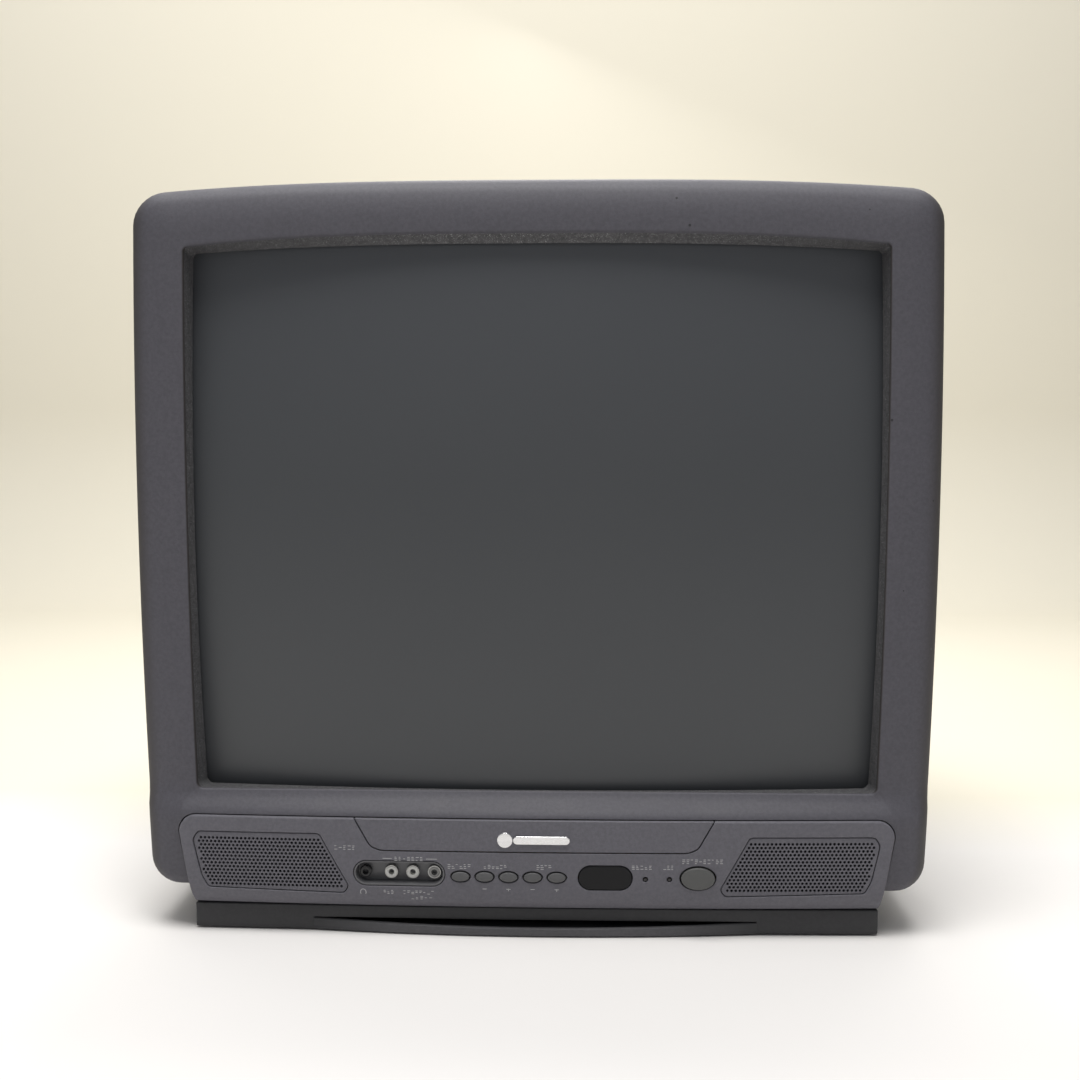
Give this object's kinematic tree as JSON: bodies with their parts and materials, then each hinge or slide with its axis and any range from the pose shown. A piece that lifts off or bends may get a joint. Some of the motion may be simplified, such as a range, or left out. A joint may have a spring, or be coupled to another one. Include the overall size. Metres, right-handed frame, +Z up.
{
  "type": "cathode ray tube television",
  "caption": "Box-shaped colour television with a curved picture tube, speaker grilles, front jacks and press keys below the screen.",
  "frame": {"origin": "middle of the set's width and depth, on the surface that its feet stand on", "axes": "+Z up, the screen faces -Y, +X to the right of a viewer who faces the screen"},
  "size_m": [0.5004, 0.482, 0.467],
  "materials": {
    "cabinet": "fine moulded grain, matte charcoal with a slight violet cast",
    "panel": "fine moulded grain, matte charcoal",
    "rear_plastic": "coarser moulded grain, matte dark grey",
    "black_plastic": "smooth black moulding",
    "key": "satin dark grey",
    "badge": "bright plated",
    "screen_glass": "dark neutral tinted glass with a grey phosphor behind",
    "funnel_glass": "dark lead glass with a graphite coat",
    "steel": "plated sheet and turned steel",
    "aluminium": "extruded, clear",
    "copper": "enamelled copper winding",
    "ferrite": "dull dark core material",
    "board": "brown phenolic board",
    "rubber": "black, dull",
    "red_cable": "red high-voltage sleeving",
    "paper": "black felted paper",
    "jack_white": "smooth off-white moulding",
    "lamp_lens": "dark tinted lens, unlit",
    "nylon": "natural nylon"
  },
  "bodies": {
    "cabinet": {"front_frame": "cabinet", "control_panel": "panel", "logo_panel": "panel", "left_grille": "panel", "right_grille": "panel", "plinth": "rear_plastic", "plinth_lip": "rear_plastic", "rear_cover": "rear_plastic", "remote_window": "black_plastic", "jack_bay": "black_plastic", "headphone_jack": "black_plastic", "power_switch": "black_plastic", "terminal_panel": "black_plastic", "flyback_transformer": "black_plastic", "badge": "badge", "crt_faceplate": "screen_glass", "crt_funnel": "funnel_glass", "remote_receiver": "steel", "tuner": "steel", "electron_gun": "steel", "shadow_mask": "steel", "tension_band": "steel", "left_speaker_basket": "steel", "right_speaker_basket": "steel", "tube_screw_lower_left": "steel", "tube_screw_lower_right": "steel", "tube_screw_upper_left": "steel", "tube_screw_upper_right": "steel", "cover_screw_left": "steel", "cover_screw_right": "steel", "heat_sink": "aluminium", "deflection_yoke": "copper", "purity_rings": "ferrite", "power_transformer": "ferrite", "control_board": "board", "main_board": "board", "neck_board": "board", "front_left_foot": "rubber", "front_right_foot": "rubber", "rear_left_foot": "rubber", "rear_right_foot": "rubber", "cord_gland": "rubber", "anode_cap": "rubber", "filter_capacitor": "rubber", "degauss_coil": "rubber", "anode_lead": "red_cable", "left_speaker_cone": "paper", "right_speaker_cone": "paper", "video_jack": "jack_white", "audio_left_jack": "jack_white", "audio_right_jack": "jack_white", "standby_lamp": "lamp_lens", "timer_lamp": "lamp_lens", "yoke_liner": "nylon"},
    "input_key": {"input_key": "key"},
    "channel_down_key": {"channel_down_key": "key"},
    "channel_up_key": {"channel_up_key": "key"},
    "volume_down_key": {"volume_down_key": "key"},
    "volume_up_key": {"volume_up_key": "key"},
    "power_button": {"power_button": "key"}
  },
  "joints": [
    {"name": "input_key_press", "type": "slide", "parent": "cabinet", "child": "input_key", "axis": [0, 1, 0], "range_m": [0, 0.0012], "stiffness_N_per_m": 800, "springref_m": -0.0003},
    {"name": "channel_down_key_press", "type": "slide", "parent": "cabinet", "child": "channel_down_key", "axis": [0, 1, 0], "range_m": [0, 0.0012], "stiffness_N_per_m": 800, "springref_m": -0.0003},
    {"name": "channel_up_key_press", "type": "slide", "parent": "cabinet", "child": "channel_up_key", "axis": [0, 1, 0], "range_m": [0, 0.0012], "stiffness_N_per_m": 800, "springref_m": -0.0003},
    {"name": "volume_down_key_press", "type": "slide", "parent": "cabinet", "child": "volume_down_key", "axis": [0, 1, 0], "range_m": [0, 0.0012], "stiffness_N_per_m": 800, "springref_m": -0.0003},
    {"name": "volume_up_key_press", "type": "slide", "parent": "cabinet", "child": "volume_up_key", "axis": [0, 1, 0], "range_m": [0, 0.0012], "stiffness_N_per_m": 800, "springref_m": -0.0003},
    {"name": "power_button_press", "type": "slide", "parent": "cabinet", "child": "power_button", "axis": [0, 1, 0], "range_m": [0, 0.004], "stiffness_N_per_m": 500, "springref_m": -0.001}
  ]
}
